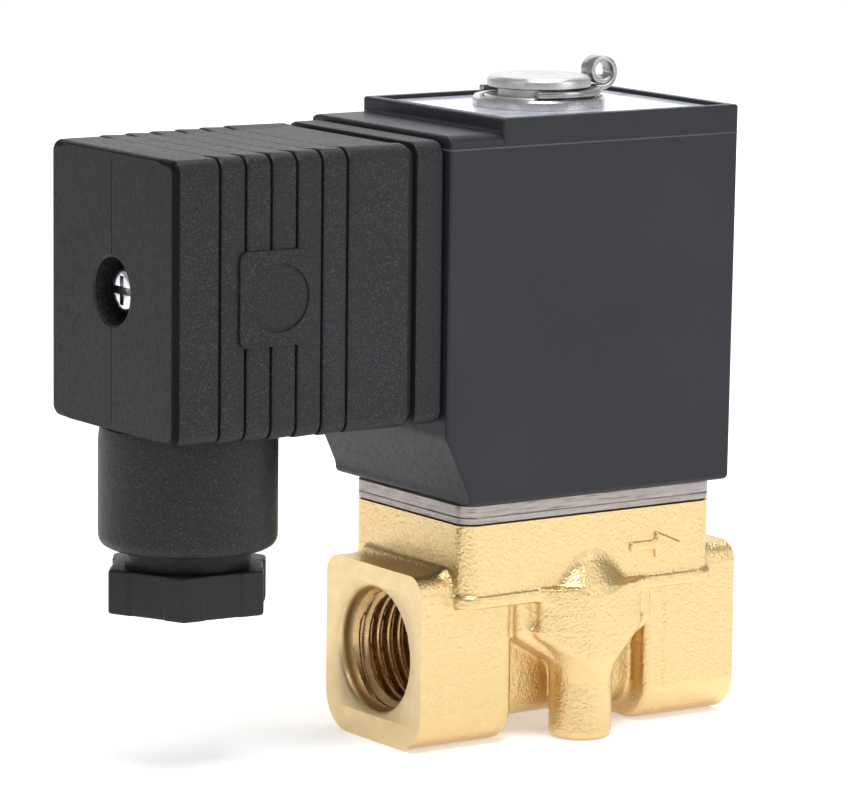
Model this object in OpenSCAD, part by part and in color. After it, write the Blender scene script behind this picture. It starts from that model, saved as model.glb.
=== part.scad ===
// Two-way, normally closed, direct-acting solenoid valve.
// Millimetres. +Z is up, along the valve axis. The flow runs along +X.
// The origin is on the valve axis, in the plane of the two tapped mounting bosses.

/* [Brass body] */
// Length of the body from port face to port face
body_l = 41; // [40:0.5:44]
// Height of the port axis above the mounting plane
port_z = 9.8; // [9.4:0.1:10.2]
// Width of the square port ends
port_w = 18; // [17.4:0.1:19]
// Height of the square port ends
port_h = 18.9; // [18.6:0.1:19.2]
// Tapped radius of the G1/4 ports
port_r = 5.72; // [5.6:0.01:5.8]
// Radius of the relief in front of the port thread
relief_r = 6.65; // [6.6:0.01:6.8]
// Radius of the chamfered rim of the ports
rim_r = 7.05; // [6.9:0.01:7.3]
// Depth of the port thread's inner end from the port face
port_depth = 12; // [11:0.5:12.5]
// Length of the block that carries the coil
block_l = 32.6; // [32:0.1:33]
// Width of the block that carries the coil
block_w = 21.5; // [21:0.1:22]
// Height of the block's lower lip
lip_z = 15.4; // [15.2:0.1:15.8]
// Height of the top of the low flange above the lip
flange_top_z = 16.7; // [16.2:0.1:17]
// Height of the block's top face
block_z = 24.2; // [24:0.1:24.6]
// Distance of each mounting boss from the valve axis
boss_y = 9.17; // [9:0.01:9.4]
// Outer radius of a mounting boss
boss_r = 3.4; // [3.2:0.1:3.6]
// Tapping radius of the M4 mounting holes
boss_hole_r = 1.65; // [1.6:0.01:1.8]
// Depth of the mounting holes
boss_hole_depth = 7; // [6:0.5:8]
// Radius of the valve's orifice
orifice_r = 1.25; // [0.8:0.05:1.5]

/* [Armature] */
// Outer radius of the armature tube
tube_r = 5.84; // [5.7:0.02:5.9]
// Bore radius of the armature tube
tube_bore_r = 4.9; // [4.8:0.05:5]
// Lift of the plunger
stroke = 1.8; // [1.2:0.1:2]
// Thickness of the steel flange plate
plate_t = 2.3; // [2:0.1:2.4]

/* [Retaining clip] */
// Direction of the clip's finger grip around the valve axis
clip_angle = 1; // [0:1:45]
// Outer radius of the clip
clip_r = 6.6; // [6:0.1:6.8]
// Outer radius of the rolled finger grip
grip_r = 1.8; // [1.5:0.1:2]

/* [Coil] */
// Width of the coil housing across the flow
coil_w = 26.2; // [25.8:0.1:26.6]
// Height of the coil housing's underside
coil_z0 = 26.7; // [26.7:0.1:27]
// Height of the coil housing's top rim
coil_z1 = 67; // [66.5:0.1:67.2]
// Depth of the pocket that holds the nameplate
label_pocket = 0.8; // [0.6:0.1:1]

/* [Connector] */
// X position of the connector's end face
plug_x0 = -52.6; // [-53:0.1:-52]
// X position of the connector's gasket face
plug_x1 = -24.35; // [-24.4:0.05:-24.3]
// Width of the connector at its end face
plug_w = 24.5; // [24:0.1:24.8]
// Height of the connector at its end face
plug_h = 28.7; // [28.4:0.1:28.8]
// Height of the fixing screw's axis
screw_z = 50.3; // [50.2:0.1:50.4]
// Radius of the gland barrel
gland_r = 9.1; // [9:0.1:9.2]
// Pitch of the gland nut's thread
gland_pitch = 1.5; // [1:0.1:2]

/* [Hidden] */
$fn = 64;
e = 0.01;

body_x = body_l / 2;
block_x = block_l / 2;
block_y = block_w / 2;
shelf_z = 11.5;
chamber_r = 5.6;
chamber_z = 17.4;
seat_z = 20.2;
flange_z = block_z - 1.1;
flange_r = 8.4;
groove_z = flange_z - 1.4;
seal_ring_r = 7.1;
plate_z = block_z + plate_t;
core_z = 46;
plunger_z0 = seat_z + 0.7;
plunger_z1 = core_z - stroke;
spring_z0 = 34;
spring_turns = 7;
spring_r = 1.75;
wire_r = 0.28;
groove_r = 4.4;
head_r = 5.5;
clip_z0 = 67.9;
clip_z1 = 68.5;
head_z0 = 68.6;
head_z1 = 69.8;
coil_bore_r = 5.95;
coil_y = coil_w / 2;
label_z = coil_z1 - label_pocket;
bobbin_r = 11.4;
bobbin_z0 = 29.8;
bobbin_z1 = 62.2;
yoke_t = 1.6;
yoke_y = 10;
base_x0 = -23.8;
base_x1 = -20.5;
blade_x0 = -33.5;
plug_mid = screw_z;
cavity_x0 = plug_x0 + 2.6;
cavity_y = 10;
cavity_z0 = 38.2;
cavity_z1 = 62.4;
gland_x = -43.45;
gland_z0 = 23.9;
nut_z0 = 16.95;
nut_z1 = 21.6;
nut_af_r = 7.9;
neck_r = 6.45;
ridge_pitch = 3.0;
ridge_x = [for (i = [0:5]) -47.2 + i * ridge_pitch];
ridge_step = 0.04;
pad_y = 12.65;

brass = [0.86, 0.7, 0.38];
steel = [0.72, 0.72, 0.74];
dark = [0.2, 0.2, 0.22];
plug_grey = [0.17, 0.17, 0.18];

// A rectangle with true-arc corners.
module round_rect(x0, x1, y0, y1, r)
{
    translate([x0 + r, y0]) square([x1 - x0 - 2 * r, y1 - y0]);
    translate([x0, y0 + r]) square([x1 - x0, y1 - y0 - 2 * r]);
    for (x = [x0 + r, x1 - r], y = [y0 + r, y1 - r])
        translate([x, y]) circle(r);
}

// Stands a Y-Z outline up and extrudes it along X from x0 to x1.
module along_x(x0, x1)
{
    translate([x0, 0, 0])
        rotate([90, 0, 90])
            linear_extrude(x1 - x0)
                children();
}

// Lays an X-Z outline in the width direction, from y0 to y1.
module along_y(y0, y1)
{
    translate([0, y1, 0])
        rotate([90, 0, 0])
            linear_extrude(y1 - y0)
                children();
}

// A cylinder along X from x0 to x1, centred at height z.
module x_cyl(x0, x1, r, z, y = 0, r2 = undef)
{
    translate([x0, y, z])
        rotate([0, 90, 0])
            cylinder(h = x1 - x0, r1 = r, r2 = is_undef(r2) ? r : r2);
}

// A ring with its axis along Z.
module ring(r_out, r_in, z0, z1)
{
    difference()
    {
        translate([0, 0, z0]) cylinder(h = z1 - z0, r = r_out);
        translate([0, 0, z0 - 1]) cylinder(h = z1 - z0 + 2, r = r_in);
    }
}

// ---- Brass body ----

// One square port end. Its lower corners are rounder than its upper ones.
module port_end(x0, x1)
{
    along_x(x0, x1)
    {
        round_rect(-port_w / 2, port_w / 2, 0, port_h / 2 + 3, 4.2);
        round_rect(-port_w / 2, port_w / 2, port_h / 2 - 4, port_h, 2.2);
    }
}

// A mounting boss: a round stem, a bulged slab above it, and a conical cap on the block.
module boss(side)
{
    translate([0, side * boss_y, 0]) cylinder(h = lip_z, r = boss_r);
    intersection()
    {
        translate([0, -side, shelf_z]) cylinder(h = flange_top_z - shelf_z, r = 13.7, $fn = 160);
        translate([-6.6, side > 0 ? 6 : -14, shelf_z]) cube([13.2, 8, flange_top_z - shelf_z]);
    }
    // Cone that carries the slab's bulge down to the stem
    intersection()
    {
        translate([0, side * boss_y, shelf_z - 3.4]) cylinder(h = 3.4 + e, r1 = boss_r, r2 = boss_r + 3.2);
        translate([0, -side, shelf_z - 4]) cylinder(h = 5, r = 13.7, $fn = 160);
    }
    translate([0, side * 6.6, flange_top_z - e]) cylinder(h = 3.2, r1 = 6.1, r2 = 4.15);
}

module port_bore(side)
{
    mirror([side > 0 ? 0 : 1, 0, 0])
    {
        x_cyl(body_x - port_depth, body_x + 1, port_r, port_z);
        x_cyl(body_x - 1.9, body_x + 1, relief_r, port_z);
        x_cyl(body_x - 0.4, body_x + e, relief_r, port_z, 0, rim_r);
    }
}

module brass_body()
{
    color(brass)
        difference()
        {
            union()
            {
                translate([0, 0, lip_z])
                    linear_extrude(block_z - lip_z)
                        round_rect(-block_x, block_x, -block_y, block_y, 2);
                // Low flange around the foot of the block
                translate([0, 0, lip_z])
                    linear_extrude(flange_top_z - lip_z)
                        round_rect(-block_x - 0.35, block_x + 0.35, -block_y - 0.35, block_y + 0.35, 2.3);
                port_end(-body_x, -8.7);
                port_end(8.7, body_x);
                // Recessed web between the ports
                along_x(-9, 9) round_rect(-6.3, 6.3, 1.8, lip_z + 1, 3);
                // Shelf under the block, sloping down to the bosses
                along_y(-9.9, 9.9)
                    polygon([[-8.8, lip_z + e], [-8.8, shelf_z], [-3.2, 8.1],
                             [3.2, 8.1], [8.8, shelf_z], [8.8, lip_z + e]]);
                for (side = [-1, 1])
                    boss(side);
                // Raised flow arrow
                along_y(-block_y - 0.3, -block_y + 0.5)
                    polygon([[5, 19.6], [8.3, 19.6], [8.3, 18.6], [11.8, 20.1],
                             [8.3, 21.6], [8.3, 20.6], [5, 20.6]]);
            }
            port_bore(-1);
            port_bore(1);
            // Inlet drilling and its riser into the valve chamber
            x_cyl(-body_x + port_depth - e, -3, 1.3, port_z);
            translate([-4.3, 0, port_z - 1.3]) cylinder(h = chamber_z - port_z + 2, r = 1.2);
            // Outlet drilling, which meets the orifice
            x_cyl(-1.3, body_x - port_depth + e, 1.9, port_z);
            translate([0, 0, port_z]) cylinder(h = block_z, r = orifice_r);
            // Valve chamber around the raised seat
            difference()
            {
                translate([0, 0, chamber_z]) cylinder(h = block_z, r = chamber_r);
                translate([0, 0, chamber_z - 1]) cylinder(h = seat_z - chamber_z + 1, r1 = 3, r2 = 2);
            }
            translate([0, 0, flange_z]) cylinder(h = 5, r = flange_r + 0.1);
            translate([0, 0, groove_z]) cylinder(h = 3, r = seal_ring_r + 0.8);
            for (side = [-1, 1])
                translate([0, side * boss_y, -1]) cylinder(h = boss_hole_depth + 1, r = boss_hole_r);
            flange_screw_positions()
                translate([0, 0, 17.6]) cylinder(h = 10, r = 1.5);
        }
}

// Rubber ring that seals the armature tube's flange to the body.
module body_seal_ring()
{
    color([0.1, 0.1, 0.1])
        translate([0, 0, groove_z + 0.7])
            rotate_extrude()
                translate([seal_ring_r, 0]) circle(0.7);
}

// ---- Armature tube and flange ----

module armature_tube()
{
    color(steel)
        rotate_extrude()
        {
            translate([tube_bore_r, flange_z]) square([flange_r - tube_bore_r, block_z - flange_z]);
            translate([tube_bore_r, flange_z]) square([tube_r - tube_bore_r, 62 - flange_z]);
        }
}

// Solid core that closes the tube. Its head has the groove for the clip.
module fixed_core()
{
    color([0.8, 0.8, 0.8])
        difference()
        {
            rotate_extrude()
                polygon([[0, core_z], [tube_bore_r, core_z], [tube_bore_r, 62], [tube_r, 62],
                         [tube_r, clip_z0 - 0.1], [groove_r, clip_z0 - 0.1], [groove_r, head_z0],
                         [head_r, head_z0], [head_r, head_z1 - 0.4], [head_r - 0.5, head_z1],
                         [0, head_z1]]);
            ring(3.6, 2.7, core_z - 1, core_z + 1.2);
        }
}

// Copper ring that keeps the core quiet on alternating current.
module shading_ring()
{
    color([0.8, 0.45, 0.3])
        ring(3.6, 2.7, core_z, core_z + 1.2);
}

module flange_screw_positions()
{
    for (x = [-12.2, 12.2], y = [-7.4, 7.4])
        translate([x, y, 0]) children();
}

module flange_plate()
{
    color(steel)
        difference()
        {
            translate([0, 0, block_z])
                linear_extrude(plate_t)
                    round_rect(-block_x, block_x, -block_y, block_y, 2);
            translate([0, 0, block_z - 1]) cylinder(h = plate_t + 2, r = tube_r + 0.06);
            flange_screw_positions()
                translate([0, 0, block_z - 1])
                {
                    cylinder(h = plate_t + 2, r = 1.5);
                    translate([0, 0, plate_t - 0.7]) cylinder(h = 1.7, r1 = 1.5, r2 = 3.2);
                }
        }
}

// Four countersunk screws, flush with the plate.
module flange_screws()
{
    color([0.55, 0.55, 0.56])
        flange_screw_positions()
            difference()
            {
                union()
                {
                    translate([0, 0, 18.2]) cylinder(h = plate_z - 18.2, r = 1.5);
                    translate([0, 0, plate_z - 1.7]) cylinder(h = 1.7, r1 = 1.5, r2 = 3.2);
                }
                translate([0, 0, plate_z - 1]) cylinder(h = 3, r = 1.05, $fn = 6);
            }
}

// ---- Plunger ----

module plunger()
{
    color([0.75, 0.75, 0.77])
        difference()
        {
            translate([0, 0, plunger_z0]) cylinder(h = plunger_z1 - plunger_z0, r = tube_bore_r - 0.06);
            translate([0, 0, plunger_z0 - 1]) cylinder(h = 2.6, r = 3.2);
            translate([0, 0, spring_z0]) cylinder(h = 20, r = 2.3);
            // Flats that let the fluid pass
            for (a = [0:90:270])
                rotate([0, 0, a])
                    translate([4.4, -1.2, plunger_z0 - 1]) cube([2, 2.4, 30]);
        }
}

module plunger_seal()
{
    color([0.08, 0.08, 0.08])
        translate([0, 0, seat_z]) cylinder(h = plunger_z0 + 1.6 - seat_z, r = 3.2);
}

// Sweeps a round wire through the points of a list, with closed flat ends.
module sweep(pts, r, sides)
{
    n = len(pts);
    function unit(v) = v / norm(v);
    function dir(i) = unit(pts[min(i + 1, n - 1)] - pts[max(i - 1, 0)]);
    function out(i) = unit([pts[i][0], pts[i][1], 0]);
    function side_of(i) = unit(cross(dir(i), out(i)));
    verts = [for (i = [0:n - 1], j = [0:sides - 1])
        pts[i] + r * (cos(360 * j / sides) * out(i) + sin(360 * j / sides) * side_of(i))];
    walls = [for (i = [0:n - 2], j = [0:sides - 1])
        [i * sides + j, i * sides + (j + 1) % sides,
         (i + 1) * sides + (j + 1) % sides, (i + 1) * sides + j]];
    cap0 = [[for (j = [0:sides - 1]) sides - 1 - j]];
    cap1 = [[for (j = [0:sides - 1]) (n - 1) * sides + j]];
    polyhedron(verts, concat(walls, cap0, cap1), convexity = 10);
}

module return_spring()
{
    per_turn = 12;
    n = spring_turns * per_turn;
    z0 = spring_z0 + wire_r;
    rise = core_z - spring_z0 - 2 * wire_r - 0.04;
    pts = [for (i = [0:n])
        [spring_r * cos(360 * i / per_turn), spring_r * sin(360 * i / per_turn), z0 + rise * i / n + 0.02]];
    color([0.8, 0.8, 0.82])
        sweep(pts, wire_r, 6);
}

// ---- Coil ----

// Side outline of the coil housing, with the neck for the terminals on its left.
module coil_outline()
{
    polygon([[-17.1, coil_z0], [16.5, coil_z0], [16.7, coil_z1], [-13.7, coil_z1],
             [-13.7, 65.5], [-20.2, 65.5], [-20.2, 34.2], [-18.65, 31.1], [-17.4, 28.4], [-17.1, 27.6]]);
}

module coil_housing()
{
    color(dark)
        difference()
        {
            intersection()
            {
                along_y(-coil_y, coil_y) coil_outline();
                // Rounds the four upright corners
                translate([0, 0, coil_z0 - 1])
                    linear_extrude(coil_z1 - coil_z0 + 2)
                        round_rect(-20.2, 16.7, -coil_y, coil_y, 0.6);
            }
            translate([0, 0, coil_z0 - 1]) cylinder(h = 60, r = coil_bore_r);
            // Nameplate pocket
            translate([0, 0, label_z])
                linear_extrude(2)
                    round_rect(-12.6, 15.6, -coil_y + 1.1, coil_y - 1.1, 0.5);
            // Space filled by the winding and the yoke
            translate([0, 0, bobbin_z0]) cylinder(h = bobbin_z1 - bobbin_z0, r = bobbin_r);
            yoke_blank();
            // Space filled by the screw insert and the blades
            x_cyl(-21, -15, 2.6, screw_z);
            contact_blade_shapes(-21, -16);
        }
}

module nameplate()
{
    color([0.75, 0.8, 0.85])
        difference()
        {
            translate([0, 0, label_z])
                linear_extrude(0.4)
                    round_rect(-12.5, 15.5, -coil_y + 1.2, coil_y - 1.2, 0.4);
            translate([0, 0, label_z - 1]) cylinder(h = 4, r = coil_bore_r + 0.1);
        }
}

module coil_bobbin()
{
    color([0.9, 0.88, 0.8])
        rotate_extrude()
        {
            translate([coil_bore_r, bobbin_z0]) square([0.9, bobbin_z1 - bobbin_z0]);
            translate([coil_bore_r, bobbin_z0]) square([bobbin_r - coil_bore_r, 1.2]);
            translate([coil_bore_r, bobbin_z1 - 1.2]) square([bobbin_r - coil_bore_r, 1.2]);
        }
}

module copper_winding()
{
    color([0.78, 0.42, 0.2])
        ring(10.9, coil_bore_r + 0.9, bobbin_z0 + 1.2, bobbin_z1 - 1.2);
}

module winding_tape()
{
    color([0.95, 0.85, 0.3])
        ring(11.2, 10.9, bobbin_z0 + 1.2, bobbin_z1 - 1.2);
}

// The yoke strip: two end plates and the wall that joins them.
module yoke_blank()
{
    translate([-11, -yoke_y, bobbin_z1]) cube([25, 2 * yoke_y, yoke_t]);
    translate([-11, -yoke_y, bobbin_z0 - yoke_t]) cube([25, 2 * yoke_y, yoke_t]);
    translate([14 - yoke_t, -yoke_y, bobbin_z0 - yoke_t])
        cube([yoke_t, 2 * yoke_y, bobbin_z1 - bobbin_z0 + 2 * yoke_t]);
}

module yoke_frame()
{
    color([0.5, 0.5, 0.52])
        difference()
        {
            yoke_blank();
            translate([0, 0, bobbin_z0 - 5]) cylinder(h = 50, r = coil_bore_r);
        }
}

// Brass insert that takes the connector's fixing screw.
module screw_insert()
{
    color(brass)
        difference()
        {
            x_cyl(-20.4, -15, 2.6, screw_z);
            x_cyl(-22, -15.8, 1.55, screw_z);
        }
}

// Two power blades side by side and the earth blade below, all along X.
module contact_blade_shapes(x0, x1)
{
    for (side = [-1, 1])
        translate([x0, side * 5 - 0.4, screw_z + 2.6]) cube([x1 - x0, 0.8, 6.3]);
    translate([x0, -3.15, screw_z - 8.4]) cube([x1 - x0, 6.3, 0.8]);
}

module contact_blades()
{
    color([0.78, 0.76, 0.7])
        contact_blade_shapes(blade_x0, -16.2);
}

// Moulded base around the blades, against which the connector seals.
module terminal_base()
{
    color(plug_grey)
        difference()
        {
            along_x(base_x0, base_x1)
                round_rect(-12.3, 12.3, 35.7, 65, 1);
            x_cyl(base_x0 - 1, base_x1 + 1, 2.2, screw_z);
            contact_blade_shapes(base_x0 - 1, base_x1 + 1);
        }
}

// Plain washer between the nameplate and the clip.
module top_washer()
{
    color(steel)
        ring(7.02, tube_r + 0.15, label_z + 0.4, clip_z0 - 0.25);
}

// ---- Retaining clip ----

// Flat spring clip. Its mouth is a straight slot, and its far end is rolled into a grip.
module retaining_clip()
{
    grip_x = 7.9;
    grip_z = clip_z0 + grip_r - 0.05;
    color([0.78, 0.78, 0.78])
        rotate([0, 0, clip_angle])
        {
            difference()
            {
                union()
                {
                    translate([0, 0, clip_z0]) cylinder(h = clip_z1 - clip_z0, r = clip_r);
                    translate([4.5, -1, clip_z0]) cube([grip_x - 4.5, 2, clip_z1 - clip_z0]);
                }
                translate([0, 0, clip_z0 - 1]) cylinder(h = 3, r = groove_r + 0.08);
                translate([-10, -groove_r - 0.08, clip_z0 - 1]) cube([10, 2 * groove_r + 0.16, 3]);
                translate([-10, -8, clip_z0 - 1]) cube([6, 16, 3]);
            }
            difference()
            {
                along_y(-1, 1)
                    translate([grip_x, grip_z])
                        difference()
                        {
                            circle(grip_r);
                            circle(grip_r - 0.55);
                        }
                translate([grip_x - 2.4, -2, grip_z - 0.5]) cube([1.2, 4, 0.7]);
            }
        }
}

// ---- Connector ----

// Outer outline of the connector housing, grown by g on each side.
module plug_outline(g)
{
    round_rect(-plug_w / 2 - g, plug_w / 2 + g, plug_mid - plug_h / 2 - g, plug_mid + plug_h / 2 + g, 1.2);
}

// The housing's outside: bands that step out by a little at each ridge.
module plug_shell()
{
    along_x(plug_x0, ridge_x[0] + e) plug_outline(0);
    for (i = [0:4])
        along_x(ridge_x[i], ridge_x[i + 1] + e) plug_outline(ridge_step * (i + 1));
    along_x(ridge_x[5], plug_x1) plug_outline(ridge_step * 6);
    // Grip pads with a shallow round recess, one on each side
    difference()
    {
        along_y(-pad_y, pad_y)
            round_rect(-45.2, -36.9, plug_mid - 4.9, plug_mid + 4.9, 1);
        for (y = [-pad_y - 1, pad_y - 0.15])
            along_y(y, y + 1.15)
                translate([-40.5, plug_mid]) circle(3.5);
    }
}

module connector_housing()
{
    color(plug_grey)
        difference()
        {
            union()
            {
                plug_shell();
                // Gland barrel
                translate([gland_x, 0, gland_z0 + 1]) cylinder(h = 14, r = gland_r);
                translate([gland_x, 0, gland_z0]) cylinder(h = 1 + e, r1 = gland_r - 0.8, r2 = gland_r);
            }
            difference()
            {
                translate([cavity_x0, -cavity_y, cavity_z0])
                    cube([plug_x1 - cavity_x0 + 1, 2 * cavity_y, cavity_z1 - cavity_z0]);
                // Sleeve around the fixing screw
                x_cyl(cavity_x0 - 1, -41, 3.9, screw_z);
            }
            x_cyl(plug_x0 - 1, -48.9, 3.5, screw_z);
            x_cyl(plug_x0, -35, 1.8, screw_z);
            // Gland bore, seat for the grommet, and the way into the cavity
            translate([gland_x, 0, gland_z0 - 1]) cylinder(h = 12.1, r = neck_r + 0.08);
            translate([gland_x, 0, gland_z0]) cylinder(h = 16, r = 4.5);
        }
}

// Flat gasket between connector and base. It stays on the connector.
module connector_gasket()
{
    color([0.05, 0.05, 0.05])
        difference()
        {
            along_x(plug_x1, base_x0 - 0.03)
                round_rect(-12, 12, 35.9, 64.8, 1);
            along_x(plug_x1 - 1, base_x0 + 1)
                round_rect(-9, 9, 39, 61.6, 1);
        }
}

// Insulating block that carries the contacts and is clamped by the screw.
module terminal_block()
{
    color([0.85, 0.85, 0.82])
        difference()
        {
            translate([-40, -cavity_y, cavity_z0 + 2.6])
                cube([15.4, 2 * cavity_y, cavity_z1 - cavity_z0 - 3.4]);
            x_cyl(-41, -20, 1.8, screw_z);
            contact_socket_blanks();
            terminal_screw_shapes(0.05);
        }
}

// Outside of the three spring sockets.
module contact_socket_blanks()
{
    for (side = [-1, 1])
        translate([-37, side * 5 - 1.4, screw_z + 2.1]) cube([13, 2.8, 7.4]);
    translate([-37, -3.7, screw_z - 9.4]) cube([13, 7.4, 2.8]);
}

module contact_sockets()
{
    color(brass)
        difference()
        {
            intersection()
            {
                contact_socket_blanks();
                translate([-37, -cavity_y, cavity_z0]) cube([12.2, 2 * cavity_y, 30]);
            }
            for (side = [-1, 1])
                translate([-35, side * 5 - 0.5, screw_z + 2.5]) cube([12, 1, 6.5]);
            translate([-35, -3.25, screw_z - 8.5]) cube([12, 6.5, 1]);
            terminal_screw_shapes(0);
        }
}

// Three clamp screws, driven from the connector's end face side.
module terminal_screw_shapes(g)
{
    for (side = [-1, 1])
    {
        x_cyl(-40.2, -38.6, 2 + g, screw_z + 5.8, side * 5);
        x_cyl(-38.7, -35.6, 1.2 + g, screw_z + 5.8, side * 5);
    }
    x_cyl(-40.2, -38.6, 2 + g, screw_z - 8);
    x_cyl(-38.7, -35.6, 1.2 + g, screw_z - 8);
}

module terminal_screws()
{
    color(steel)
        difference()
        {
            terminal_screw_shapes(0);
            for (side = [-1, 1])
                translate([-41, side * 5 - 0.25, screw_z + 3.5]) cube([1.5, 0.5, 5]);
            translate([-41, -0.25, screw_z - 10.5]) cube([1.5, 0.5, 5]);
        }
}

// Rubber bush that grips the cable.
module gland_grommet()
{
    color([0.1, 0.1, 0.1])
        translate([gland_x, 0, 0])
            ring(neck_r - 0.05, 3.6, 31.2, 35);
}

module gland_thrust_ring()
{
    color([0.7, 0.7, 0.72])
        translate([gland_x, 0, 0])
            ring(neck_r - 0.05, 3.8, 30.6, 31.2);
}

// ---- Connector fixing screw ----

module fixing_screw()
{
    color([0.8, 0.8, 0.82])
        difference()
        {
            union()
            {
                x_cyl(-51.4, -51.1, 2.1, screw_z, 0, 2.3);
                x_cyl(-51.1, -49.4, 2.3, screw_z);
                x_cyl(-49.5, -16.4, 1.5, screw_z);
            }
            // Cross recess, with one arm longer as a slot
            translate([-52, -3, screw_z - 0.4]) cube([1.5, 6, 0.8]);
            translate([-52, -0.3, screw_z - 1.5]) cube([1.8, 0.6, 3]);
        }
}

module screw_washer()
{
    color([0.1, 0.1, 0.1])
        difference()
        {
            x_cyl(-49.4, -48.95, 2.9, screw_z);
            x_cyl(-50, -48, 1.55, screw_z);
        }
}

// ---- Gland nut ----

// Clear ring that turns freely on the nut's neck.
module gland_slip_ring()
{
    color([0.85, 0.87, 0.9, 0.6])
        translate([gland_x, 0, 0])
            ring(7.8, neck_r + 0.05, nut_z1 + 0.1, gland_z0 - 0.5);
}

// Hexagonal gland nut with rounded corners and an externally threaded neck.
module gland_nut()
{
    color([0.12, 0.12, 0.13])
        translate([gland_x, 0, 0])
            difference()
            {
                union()
                {
                    intersection()
                    {
                        translate([0, 0, nut_z0]) cylinder(h = nut_z1 - nut_z0, r = 8.8);
                        translate([0, 0, nut_z0 - 1])
                            rotate([0, 0, -4])
                                cylinder(h = nut_z1 - nut_z0 + 2, r = nut_af_r / cos(30), $fn = 6);
                    }
                    translate([0, 0, nut_z1 - e]) cylinder(h = 30 - nut_z1, r = neck_r);
                }
                translate([0, 0, nut_z0 - 1]) cylinder(h = 20, r = 4);
            }
}

brass_body();
body_seal_ring();
armature_tube();
fixed_core();
shading_ring();
flange_plate();
flange_screws();
plunger();
plunger_seal();
return_spring();
coil_housing();
nameplate();
coil_bobbin();
copper_winding();
winding_tape();
yoke_frame();
screw_insert();
terminal_base();
contact_blades();
top_washer();
retaining_clip();
connector_housing();
connector_gasket();
terminal_block();
contact_sockets();
terminal_screws();
gland_grommet();
gland_thrust_ring();
fixing_screw();
screw_washer();
gland_slip_ring();
gland_nut();
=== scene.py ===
"""Looks of a brass-bodied solenoid valve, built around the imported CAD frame.
Lengths are in millimetres until a mesh is made, because the part is dimensioned in them."""

import math

import bmesh
import bpy
import numpy as np
from mathutils import Matrix, Vector
from mathutils.geometry import tessellate_polygon


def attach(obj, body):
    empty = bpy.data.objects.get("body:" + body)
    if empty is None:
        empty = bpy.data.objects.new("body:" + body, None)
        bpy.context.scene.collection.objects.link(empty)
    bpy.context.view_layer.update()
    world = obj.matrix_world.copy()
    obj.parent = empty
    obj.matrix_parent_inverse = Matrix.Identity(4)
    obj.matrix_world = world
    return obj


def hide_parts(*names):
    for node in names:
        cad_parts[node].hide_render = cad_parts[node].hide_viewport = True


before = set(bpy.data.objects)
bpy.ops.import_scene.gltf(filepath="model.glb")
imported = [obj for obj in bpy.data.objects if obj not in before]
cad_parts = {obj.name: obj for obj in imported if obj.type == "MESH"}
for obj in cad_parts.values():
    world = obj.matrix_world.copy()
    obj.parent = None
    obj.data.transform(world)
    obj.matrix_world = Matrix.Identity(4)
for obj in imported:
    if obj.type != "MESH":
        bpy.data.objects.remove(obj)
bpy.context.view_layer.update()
MM = 0.001
WAVE_PHASE = 20  # the wave texture's phase for each unit of length, at scale 1


# ---------------------------------------------------------------- driving dimensions

# Brass body: half length, level of the ports' axis, and half sizes and top of the upper block
BODY_X, PORT_Z, BLOCK_X, BLOCK_Y, BLOCK_Z = 20.5, 9.8, 16.3, 10.75, 24.2
# Levels of the low flange's underside, its top and the shelf, and place and radius of the stems
LIP_Z, FLANGE_Z, SHELF_Z, BOSS_Y, BOSS_R = 15.4, 16.7, 11.5, 9.17, 3.36
# Counterbore in front of the port's thread, and the screws that hold the plate
BORE_R, BORE_DEPTH = 6.65, 1.9
SCREW_PLACES = [(x, y) for x in (-12.2, 12.2) for y in (-7.4, 7.4)]
# Rounded internal pipe thread of the ports
PITCH, THREAD_MINOR, THREAD_MAJOR = 1.337, 5.72, 6.56
# Coil: bore for the armature tube, level of the connector's shoulder, and middle of the lid's pocket
TUBE_HOLE_R, SHOULDER_Z, POCKET_X = 5.95, 65.5, 1.5
# Plug connector: ends along X, middle height, half sizes and roundings, and where the ridges are
PLUG_X0, PLUG_X1, PLUG_MID = -52.6, -24.35, 50.3
HALF_W, HALF_H, PLUG_R, END_R = 12.25, 14.35, 1.25, 0.8
RIDGES = [-47.2 + 3.0 * i for i in range(6)]
# Middle height of the terminal base and of the gasket's outline
BASE_MID = 50.35
# Gland: its axis along X, and the nut's half width across flats
GLAND_X, NUT_HALF = -43.45, 7.92


# ---------------------------------------------------------------- materials


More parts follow.
